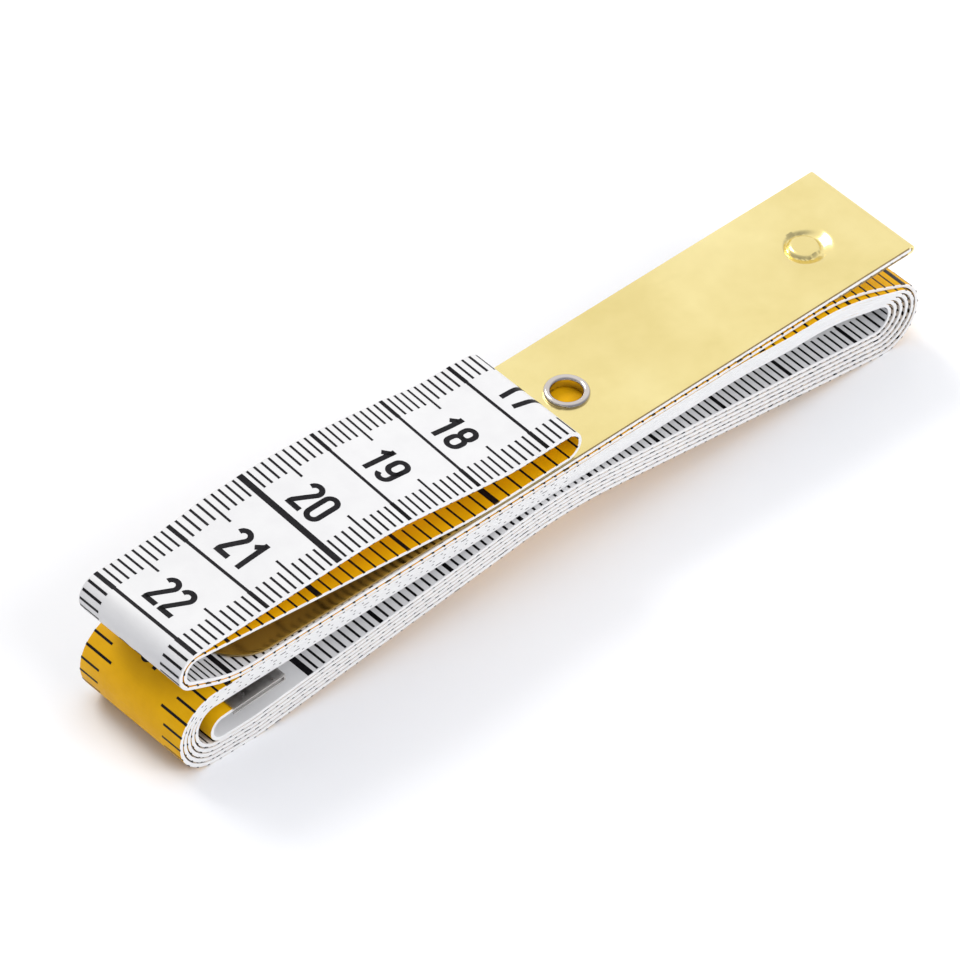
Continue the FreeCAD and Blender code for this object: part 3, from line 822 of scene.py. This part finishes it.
def numeral(bm, text, line, side, clear, share):
    """A number on the zero side of its line, tops to the zero end."""
    base = line - clear
    for i, digit in enumerate(text):
        place = (i - (len(text) - 1) / 2) * DIGIT_TRACK * share
        flat = bmesh.new()
        flat.from_mesh(digit_mesh(digit))
        bmesh.ops.scale(flat, vec=(share, share, 1), verts=flat.verts)
        bmesh.ops.translate(flat, vec=(place, 0, 0), verts=flat.verts)
        grown = bmesh.ops.extrude_face_region(flat, geom=flat.faces[:])
        top = [v for v in grown["geom"] if isinstance(v, bmesh.types.BMVert)]
        bmesh.ops.translate(flat, vec=(0, 0, INK_OVER + INK_UNDER), verts=top)
        # X of the letter goes across the tape, its Y back towards the zero end.
        turn = Matrix(((0, -1, 0, base), (side, 0, 0, 0),
                       (0, 0, side, side * (HALF - INK_UNDER)), (0, 0, 0, 1)))
        bmesh.ops.transform(flat, matrix=turn, verts=flat.verts)
        first = min(v.co.x for v in flat.verts)
        last = max(v.co.x for v in flat.verts)
        on_arc = any(r[2] != 0.0 and r[4] < last and r[4] + r[3] > first for r in RUNS)
        if on_arc or twist(first) > 0:
            cut = first + NUMERAL_STEP
            while cut < last:
                geom = flat.verts[:] + flat.edges[:] + flat.faces[:]
                bmesh.ops.bisect_plane(flat, geom=geom, plane_co=(cut, 0, 0), plane_no=(1, 0, 0))
                cut += NUMERAL_STEP
        bmesh.ops.recalc_face_normals(flat, faces=flat.faces)
        letter = bpy.data.meshes.new("letter")
        flat.to_mesh(letter)
        flat.free()
        bm.from_mesh(letter)
        bpy.data.meshes.remove(letter)


WIDE_BAR = 0.8
HALF_INCH_BAR = 0.5
CENTIMETRE_BAR = 0.38
CENTIMETRE_END = 0.52
MILLIMETRE_BAR = 0.29
QUARTER_BAR = 0.3
SIXTEENTH_BAR = 0.27
MILLIMETRE_REACH = 3.1
FIVE_REACH = 4.4
SIXTEENTH_REACH = 2.85
QUARTER_REACH = 4.0
MILLIMETRE_CLEAR = 0.15
SIXTEENTH_CLEAR = 0.03
INCH = 25.4
CENTIMETRES = 150
INCHES = 59


def end_bars(place, wide, clear, reach):
    """The two short bars that stand in from both edges at one place."""
    side = WIDTH / 2
    return [(place, wide, *sorted((end * (side - clear), end * (side - reach)))) for end in (-1, 1)]


def full_bar(place, wide):
    """A bar right across the tape."""
    side = WIDTH / 2
    return place, wide, -side + EDGE_CLEAR, side - EDGE_CLEAR


def white_bars():
    """Millimetre scale: (place on the tape, width, low, high) of every bar."""
    bars = []
    for mm in range(1, 10 * CENTIMETRES + 1):
        place = tape_at(mm)
        if mm % 100 == 0:
            bars.append(full_bar(place, WIDE_BAR))
        elif mm % 10 == 0:
            bars.append(full_bar(place, CENTIMETRE_BAR))
            bars += end_bars(place, CENTIMETRE_END, EDGE_CLEAR, MILLIMETRE_REACH)
        else:
            reach = FIVE_REACH if mm % 5 == 0 else MILLIMETRE_REACH
            bars += end_bars(place, MILLIMETRE_BAR, MILLIMETRE_CLEAR, reach)
    return bars


def yellow_bars():
    """Inch scale on the other face: sixteenths, quarters, halves and inches."""
    bars = []
    for sixteenth in range(1, INCHES * 16 + 1):
        place = tape_at(sixteenth * INCH / 16)
        if sixteenth % 16 == 0:
            bars.append(full_bar(place, WIDE_BAR))
        elif sixteenth % 8 == 0:
            bars.append(full_bar(place, HALF_INCH_BAR))
        elif sixteenth % 4 == 0:
            bars += end_bars(place, QUARTER_BAR, SIXTEENTH_CLEAR, QUARTER_REACH)
        else:
            bars += end_bars(place, SIXTEENTH_BAR, SIXTEENTH_CLEAR, SIXTEENTH_REACH)
    return bars


INCH_SHARE = 0.75
NUMBER_CLEAR = 1.3
INCH_CLEAR = 0.8
WHITE_BARS = white_bars()
YELLOW_BARS = yellow_bars()
WHITE_NUMBERS = [(str(n), tape_at(10 * n)) for n in range(1, CENTIMETRES + 1)]
YELLOW_NUMBERS = [(str(n), tape_at(INCH * n)) for n in range(1, INCHES + 1)]


def under_metal(place, more=0.0):
    """Whether a mark would cross the eyelet or the stake, where the tape has a hole."""
    x = TAPE_END - place
    return any(abs(x - hole) < EYELET_RIM + more for hole in (EYELET_X, STAKE_X))


FIRST_MARK = 0.3
LAST_CLEAR = 0.5
FIRST_NUMERAL = 3.0


def printing(name, first, last, side):
    """All the bars and numbers whose middle lies on one piece of the tape."""
    bm = bmesh.new()
    bars, numbers, share, clear = WHITE_BARS, WHITE_NUMBERS, 1.0, NUMBER_CLEAR
    if side == YELLOW_SIDE:
        bars, numbers, share, clear = YELLOW_BARS, YELLOW_NUMBERS, INCH_SHARE, INCH_CLEAR
    for place, wide, low, high in bars:
        across_hole = low * high < 0 and under_metal(place)
        if across_hole or not (first <= place < last and FIRST_MARK < place < TOTAL - LAST_CLEAR):
            continue
        bar(bm, place, wide, low, high, side)
        if side == YELLOW_SIDE and not pressed_flat(place):
            for end in (-1, 1):
                if max(end * low, end * high) > WIDTH / 2 - RUNS_OFF:
                    edge_dot(bm, place, wide, side, end)
    for text, line in numbers:
        middle = line - clear - share * DIGIT_HEIGHT / 2
        here = first <= middle < last and middle > FIRST_NUMERAL
        if here and not under_metal(middle, DIGIT_HEIGHT / 2):
            numeral(bm, text, line, side, clear, share)
    if not bm.verts:
        bm.free()
        return None
    for vert in bm.verts:
        vert.co = lay(vert.co)
    return finish_piece(name, bm, INK)


# ------------------------------------------------------------ the tape itself
TURN_ENDS = [MARKS[END_FOLD + TURN_ROLLERS * t][1] for t in range(TURNS + 1)]
SECTIONS = [
    ("tongue_run", 0.0, MARKS[INNER_FOLD][0], "tongue"),
    ("inner_fold", MARKS[INNER_FOLD][0], MARKS[INNER_FOLD][1] + FOLD_TRIM, ("tongue", "flap")),
    ("flap", MARKS[INNER_FOLD][1] + FOLD_TRIM, MARKS[OUTER_FOLD][0] - FOLD_TRIM, "flap"),
    ("outer_fold", MARKS[OUTER_FOLD][0] - FOLD_TRIM, MARKS[OUTER_FOLD][1], ("flap", "under_layer")),
    ("under_run", MARKS[OUTER_FOLD][1], MARKS[END_FOLD - 1][0] - FOLD_TRIM / 2, "under_layer"),
    ("end_fold", MARKS[END_FOLD - 1][0] - FOLD_TRIM / 2, MARKS[END_FOLD][1],
     ("under_layer", "roll")),
]
for t in range(TURNS):
    SECTIONS.append(("turn_%d" % (t + 1), TURN_ENDS[t], TURN_ENDS[t + 1], "roll"))
SECTIONS.append(("last_run", TURN_ENDS[-1], MARKS[-2][0], "roll"))
SECTIONS.append(("tail", MARKS[-2][0], TOTAL, "roll"))


def table_point(along):
    """A place on the tape's middle line, in metres on the table."""
    return TO_TABLE @ lay(Vector((along, 0, 0)))


for name, first, last, body in SECTIONS:
    white = film("white_film_" + name, WHITE, first, last, -HALF, FILM_SPLIT)
    yellow = film("yellow_film_" + name, YELLOW, first, last, FILM_SPLIT, HALF)
    if name == "tongue_run":
        for cover in (white, yellow):
            punch(cover, EYELET_X, EYELET_BARREL)
            punch(cover, STAKE_X, STAKE_HOLLOW)
    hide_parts("white_face_" + name, "glass_core_" + name)
    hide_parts("yellow_face_" + name)
    printed = [printing("white_scale_" + name, first, last, WHITE_SIDE),
               printing("yellow_scale_" + name, first, last, YELLOW_SIDE)]
    printed = [p for p in printed if p is not None]
    for piece in [white, yellow] + printed:
        if isinstance(body, str):
            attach(piece, body)
        else:
            opening, closing = MARKS[END_FOLD] if name == "end_fold" else (first, last)
            table_point(opening)
            table_point(closing)
            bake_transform(piece)


# ------------------------------------------------------------ brass tongue
def tongue_path(along):
    """Middle of the brass sheet from the tip, along the blade and round to the leaf."""
    flat = BLADE_LENGTH - BLADE / 2 - BEND_RADIUS
    if along <= flat:
        x = along - BLADE_LENGTH
        rise = max(0.0, -x - TIP_SPRING_FROM) / (BLADE_LENGTH - TIP_SPRING_FROM) * TIP_SPRING
        return x, rise, 0.0
    arc = BEND_RADIUS * math.pi / 2
    drop = BLADE + TAPE - 2 * BEND_RADIUS
    left = along - flat
    cx = -BLADE / 2 - BEND_RADIUS
    if left <= arc:
        a = left / BEND_RADIUS
        return cx + BEND_RADIUS * math.sin(a), -BEND_RADIUS + BEND_RADIUS * math.cos(a), a
    left -= arc
    if left <= drop:
        return cx + BEND_RADIUS, -BEND_RADIUS - left, math.pi / 2
    left -= drop
    if left <= arc:
        a = math.pi / 2 + left / BEND_RADIUS
        return cx + BEND_RADIUS * math.sin(a), -BEND_RADIUS - drop + BEND_RADIUS * math.cos(a), a
    left -= arc
    return cx - left, -2 * BEND_RADIUS - drop, math.pi


# The crater round the stake: its wall is steepest towards one side, its floor meets the
# button in a soft step and the button's top lies a little under the blade.
DISH_TURN = 0.2
DISH_TURN_LENGTH = 1.02
DISH_STEEP = 0.55
DISH_STEEP_FROM = -0.2
DISH_STEEP_FULL = 0.9
DISH_MIDDLE = 0.1
DISH_SOFT = 0.15
BUTTON_LOW = 0.1
BUTTON_SHOULDER = 0.35


def dish(x, y):
    """Height of the blade round the stake: a crater, steep at the back, and a button."""
    r = math.hypot(x, y)
    if r >= STAKE_DISH:
        return 0.0
    foot = STAKE_BUTTON + DISH_SOFT
    towards = (y - DISH_TURN * x) / DISH_TURN_LENGTH / max(r, DISH_MIDDLE)
    steep = ease(towards, DISH_STEEP_FROM, DISH_STEEP_FULL)
    wall = STAKE_DISH - DISH_STEEP * (STAKE_DISH - STAKE_BUTTON) * steep
    sunk = -STAKE_DISH_DEPTH * (1.0 - ease(r, foot, wall))
    risen = 1.0 - ease(r, STAKE_BUTTON - BUTTON_SHOULDER, foot)
    return sunk + (STAKE_DISH_DEPTH - BUTTON_LOW) * risen


# How finely the brass strip is divided, along it and across it.
TIP_STEP = 0.08
TIP_STEP_MORE = 0.5
DISH_STEP = 0.16
EYELET_STEP = 0.25
BEND_STEP = 0.07
PLAIN_STEP = 1.5
AROUND = 0.3
BEFORE_BEND = 0.6
AFTER_BEND = 1.2
LEAF_SHORT = 0.5
WIDE_CELL = 0.5
NARROW_CELL = 0.25
NARROW_HALF = 3.75


def blade_steps():
    """Where the strip is divided along its length: fine at the tip, dish and bend."""
    places = [0.0]
    total = BLADE_LENGTH - BLADE / 2 - BEND_RADIUS + 2 * BEND_RADIUS * math.pi / 2
    total += BLADE + TAPE - 2 * BEND_RADIUS + LEAF_LENGTH - LEAF_SHORT
    while places[-1] < total:
        x = places[-1] - BLADE_LENGTH
        if places[-1] < TIP_RADIUS:
            step = TIP_STEP + TIP_STEP_MORE * places[-1] / TIP_RADIUS
        elif abs(x - STAKE_X) < STAKE_DISH + AROUND:
            step = DISH_STEP
        elif abs(x - EYELET_X) < EYELET_RIM + AROUND:
            step = EYELET_STEP
        elif x > -BLADE - BEFORE_BEND and places[-1] < BLADE_LENGTH + AFTER_BEND:
            step = BEND_STEP
        else:
            step = PLAIN_STEP
        places.append(places[-1] + step)
    places[-1] = total
    return places


HOLE_MORE = 0.05
FLAT_FROM_BEND = 2.0
BACK_BELOW = 0.1
RIM_ANGLE = 60.0
RIM_BEVEL = 0.05
RIM_BAND = 0.2
RIM_UPRIGHT = 0.5
RIM_FROM_BEND = 1.0


def brass_tongue():
    """The brass: a flat strip cut out, pressed, bent round the tape's end and thickened."""
    places = blade_steps()
    half = WIDTH / 2
    bm = bmesh.new()
    coarse = [-half + WIDE_CELL * i for i in range(int(2 * half / WIDE_CELL) + 1)]
    fine = [NARROW_CELL * i - NARROW_HALF for i in range(int(2 * NARROW_HALF / NARROW_CELL) + 1)]
    ys = sorted({y for y in coarse if abs(y) >= NARROW_HALF + NARROW_CELL} | set(fine))
    row = [bm.verts.new((places[0], y, 0)) for y in ys]
    edges = [bm.edges.new((a, b)) for a, b in zip(row, row[1:])]
    for before, after in zip(places, places[1:]):
        grown = bmesh.ops.extrude_edge_only(bm, edges=edges)
        moved = [g for g in grown["geom"] if isinstance(g, bmesh.types.BMVert)]
        edges = [g for g in grown["geom"] if isinstance(g, bmesh.types.BMEdge)]
        edges = [e for e in edges if all(v in moved for v in e.verts)]
        bmesh.ops.translate(bm, vec=(after - before, 0, 0), verts=moved)
    eyelet_at = BLADE_LENGTH + EYELET_X
    stake_at = BLADE_LENGTH + STAKE_X

    def from_eyelet(place):
        return math.hypot(place.x - eyelet_at, place.y)

    hole = [f for f in bm.faces
            if from_eyelet(f.calc_center_median()) < EYELET_BARREL + HOLE_MORE]
    bmesh.ops.delete(bm, geom=hole, context="FACES")
    for vert in bm.verts:
        r = from_eyelet(vert.co)
        if vert.is_boundary and r < EYELET_RIM:
            vert.co.x = eyelet_at + (vert.co.x - eyelet_at) * EYELET_BARREL / r
            vert.co.y = vert.co.y * EYELET_BARREL / r
    for vert in bm.verts:
        u = vert.co.x
        if u < TIP_RADIUS:
            round_off = math.sqrt(max(0.0, TIP_RADIUS ** 2 - (TIP_RADIUS - u) ** 2))
            vert.co.y *= (half - TIP_RADIUS + round_off) / half
        on_blade = u < BLADE_LENGTH - FLAT_FROM_BEND
        vert.co.z = dish(u - stake_at, vert.co.y) if on_blade else 0.0
    for vert in bm.verts:
        x, z, turn = tongue_path(vert.co.x)
        lift = vert.co.z
        vert.co = Vector((x + math.sin(turn) * lift, vert.co.y, z + math.cos(turn) * lift))
    bmesh.ops.recalc_face_normals(bm, faces=bm.faces)
    upper = [f for f in bm.faces if f.calc_center_median().z > -BACK_BELOW]
    if sum(f.normal.z * f.calc_area() for f in upper) < 0:
        bmesh.ops.reverse_faces(bm, faces=bm.faces)
    for vert in bm.verts:
        vert.co += vert.normal * BLADE / 2
    bmesh.ops.solidify(bm, geom=bm.faces[:], thickness=BLADE)
    rims = [e for e in bm.edges
            if len(e.link_faces) == 2 and e.calc_face_angle(0) > math.radians(RIM_ANGLE)]
    bmesh.ops.bevel(bm, geom=rims, offset=RIM_BEVEL, segments=2, affect="EDGES", profile=0.5,
                    material=-1)
    # Painted shade: upright faces along the rim and round the tip take the dark brown second
    # material.
    for face in bm.faces:
        centre = face.calc_center_median()
        at_rim = abs(centre.y) > half - RIM_BAND or centre.x < TIP_RADIUS - BLADE_LENGTH
        if at_rim and abs(face.normal.z) < RIM_UPRIGHT and centre.x < -RIM_FROM_BEND:
            face.material_index = 1
    pin = Matrix.Translation((STAKE_X, 0, -(BLADE + TAPE) / 2))
    bmesh.ops.create_cone(bm, cap_ends=True, segments=32, radius1=STAKE_PIN, radius2=STAKE_PIN,
                          depth=BLADE + TAPE, matrix=pin)
    piece = finish_piece("tongue_blade", bm, BRASS, sharp=35.0)
    piece.data.materials.append(BRASS_RIM_SHADE)
    return piece


blade = brass_tongue()
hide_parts("brass_tongue")
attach(blade, "tongue")


FOOT_CHAMFER = 0.12
FOOT_IN = 0.25
FOOT_SIDE_IN = 0.2
ROLL_IN = 0.12
ROLL_STEPS = 12
ROLL_FROM = -15
ROLL_SWEEP = 195
ROLL_BASE = 0.06
ROLL_LOWEST = -0.1
BORE_BELOW = 0.1


def rolled_eyelet():
    """One outline of foot, barrel and rolled rim, spun round the bore."""
    bm = bmesh.new()
    top = BLADE / 2
    low = -BLADE / 2 - TAPE
    middle = (EYELET_BORE + EYELET_RIM) / 2
    swell = (EYELET_RIM - EYELET_BORE) / 2
    foot = low - EYELET_FOOT
    outline = [(EYELET_BORE + FOOT_CHAMFER, foot), (EYELET_RIM - FOOT_IN, foot),
               (EYELET_RIM - FOOT_SIDE_IN, low - EYELET_FOOT / 2), (EYELET_RIM - FOOT_IN, low),
               (EYELET_BARREL, low), (EYELET_BARREL, top), (EYELET_RIM - ROLL_IN, top)]
    for i in range(ROLL_STEPS + 1):
        a = math.radians(ROLL_FROM + ROLL_SWEEP * i / ROLL_STEPS)
        rise = (EYELET_RIM_HEIGHT - ROLL_BASE) * max(math.sin(a), ROLL_LOWEST)
        outline.append((middle + swell * math.cos(a), top + ROLL_BASE + rise))
    outline.append((EYELET_BORE, top - BORE_BELOW))
    outline.append((EYELET_BORE, low))
    verts = [bm.verts.new((x, 0, z)) for x, z in outline]
    loop = [bm.edges.new((a, b)) for a, b in zip(verts, verts[1:] + verts[:1])]
    bmesh.ops.spin(bm, geom=verts + loop, cent=(0, 0, 0), axis=(0, 0, 1), angle=2 * math.pi,
                   steps=72, use_merge=True)
    bmesh.ops.remove_doubles(bm, verts=bm.verts, dist=1e-4)
    bmesh.ops.translate(bm, vec=(EYELET_X, 0, 0), verts=bm.verts)
    return finish_piece("rolled_eyelet", bm, NICKEL, sharp=50.0)


eyelet = rolled_eyelet()
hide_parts("eyelet")
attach(eyelet, "tongue")

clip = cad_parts["tail_clip"]
clip.data.materials.clear()
clip.data.materials.append(CLIP_STEEL)


# ------------------------------------------------------------ floor, light, camera
FLOOR_HALF = 1.5


def floor():
    """A wide sheet of white paper."""
    bm = bmesh.new()
    bmesh.ops.create_grid(bm, x_segments=2, y_segments=2, size=FLOOR_HALF)
    paper = Paint("white_paper", (0.92, 0.92, 0.93), 0.9)
    where = paper.mapped("Object", (1, 1, 1))
    tone = paper.noise(where, 30.0, 3.0)
    stops = [(0.3, (0.86, 0.865, 0.885)), (0.7, (0.875, 0.88, 0.895))]
    paper.shade("Base Color", paper.ramp(tone, stops))
    paper.shader.inputs["Specular IOR Level"].default_value = 0.1
    piece = finish_piece("floor", bm, paper.material, Matrix.Identity(4))


def lamp(name, place, size, power, colour):
    """A round soft lamp that looks at the middle of the table."""
    data = bpy.data.lights.new(name, "AREA")
    data.shape = "DISK"
    data.size = size
    data.energy = power
    data.color = colour
    obj = bpy.data.objects.new(name, data)
    obj.location = place
    obj.rotation_euler = (-Vector(place)).to_track_quat("-Z", "Y").to_euler()
    bpy.context.scene.collection.objects.link(obj)
    return obj


floor()
lamp("key_softbox", (-0.06, 0.78, 0.8), 0.5, 5.2, (1.0, 0.985, 0.96))
fill = lamp("front_fill", (0.15, -0.82, 0.55), 0.8, 6.6, (0.97, 0.98, 1.0))
fill.visible_glossy = False


# Which way the bright side of the room lies, how strong the room is and how it brightens.
BRIGHT_SIDE = (0.38, 0.46, 0.80)
ROOM_STRENGTH = 1.02
ROOM_STOPS = [(0.0, (0.26, 0.27, 0.30)), (0.5, (0.33, 0.34, 0.38)), (0.68, (0.55, 0.56, 0.60)),
              (0.84, (1.0, 1.0, 1.0))]


def studio_world():
    """White studio, bright behind and above the table and darker in front of it."""
    world = bpy.data.worlds.new("studio")
    world.use_nodes = True
    tree = world.node_tree
    where = tree.nodes.new("ShaderNodeTexCoord")
    side = tree.nodes.new("ShaderNodeVectorMath")
    side.operation = "DOT_PRODUCT"
    side.inputs[1].default_value = BRIGHT_SIDE
    ramp = tree.nodes.new("ShaderNodeValToRGB")
    for place, _ in ROOM_STOPS[1:-1]:
        ramp.color_ramp.elements.new(place)
    for element, (place, colour) in zip(ramp.color_ramp.elements, ROOM_STOPS):
        element.position = place
        element.color = (*colour, 1)
    half = tree.nodes.new("ShaderNodeMath")
    half.operation = "MULTIPLY_ADD"
    half.inputs[1].default_value = 0.5
    half.inputs[2].default_value = 0.5
    tree.links.new(where.outputs["Generated"], side.inputs[0])
    tree.links.new(side.outputs["Value"], half.inputs[0])
    tree.links.new(half.outputs["Value"], ramp.inputs["Fac"])
    back = tree.nodes["Background"]
    tree.links.new(ramp.outputs["Color"], back.inputs["Color"])
    back.inputs["Strength"].default_value = ROOM_STRENGTH
    return world


bpy.context.scene.world = studio_world()
bpy.context.scene.view_settings.view_transform = "Standard"

# The camera looks down on the front from the left, from a metre away.
AZIMUTH = math.radians(43.918)
ELEVATION = math.radians(44.448)
ROLL = math.radians(1.9575)
BACK = 992.49
OVER = (-42.33, -29.98)
LENS = 337.5


def camera():
    """A long lens at the end of the line of sight, rolled a little."""
    level = math.cos(ELEVATION)
    forward = Vector((math.sin(AZIMUTH) * level, math.cos(AZIMUTH) * level, -math.sin(ELEVATION)))
    right = forward.cross(Vector((0, 0, 1))).normalized()
    up = right.cross(forward)
    right_rolled = right * math.cos(ROLL) + up * math.sin(ROLL)
    up_rolled = -right * math.sin(ROLL) + up * math.cos(ROLL)
    place = right_rolled * OVER[0] + up_rolled * OVER[1] - forward * BACK
    turn = Matrix((right_rolled, up_rolled, -forward)).transposed().to_4x4()
    data = bpy.data.cameras.new("camera")
    data.lens = LENS
    data.sensor_width = 36.0
    data.clip_start = 0.05
    data.clip_end = 20.0
    obj = bpy.data.objects.new("camera", data)
    placed = REST @ Matrix.Translation(place) @ turn
    obj.matrix_world = Matrix.Translation(placed.translation * MM) @ placed.to_3x3().to_4x4()
    bpy.context.scene.collection.objects.link(obj)
    bpy.context.scene.camera = obj


camera()
